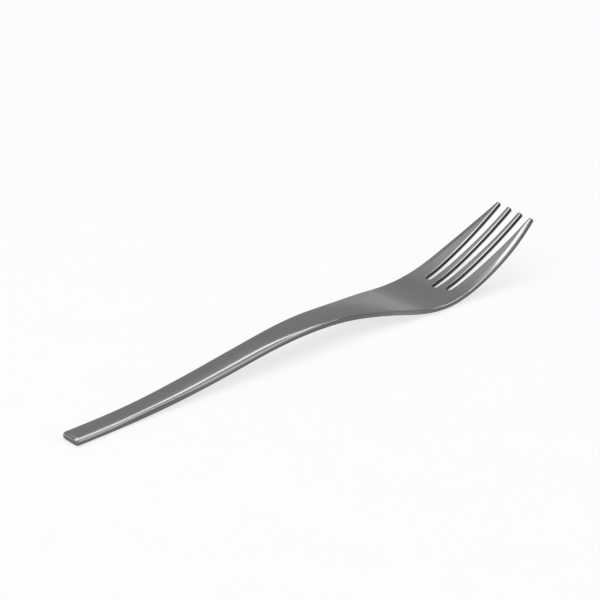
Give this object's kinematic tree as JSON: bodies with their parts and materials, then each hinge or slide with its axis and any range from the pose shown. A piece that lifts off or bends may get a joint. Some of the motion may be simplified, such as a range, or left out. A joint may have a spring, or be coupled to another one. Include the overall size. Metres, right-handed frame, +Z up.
{
  "type": "table fork",
  "caption": "Slim-handled table fork with tapering tines, pressed from a single piece of stainless steel, for lifting and holding food.",
  "frame": {"origin": "on the table, under the middle of the fork's length and width", "axes": "+X from the handle's end to the tine tips, +Y across the fork to its left, +Z up from the table"},
  "size_m": [0.2004, 0.0256, 0.0197],
  "materials": {
    "steel": "stainless steel, finely polished, with soft grey reflections"
  },
  "bodies": {
    "root": {"fork": "steel"}
  },
  "joints": []
}
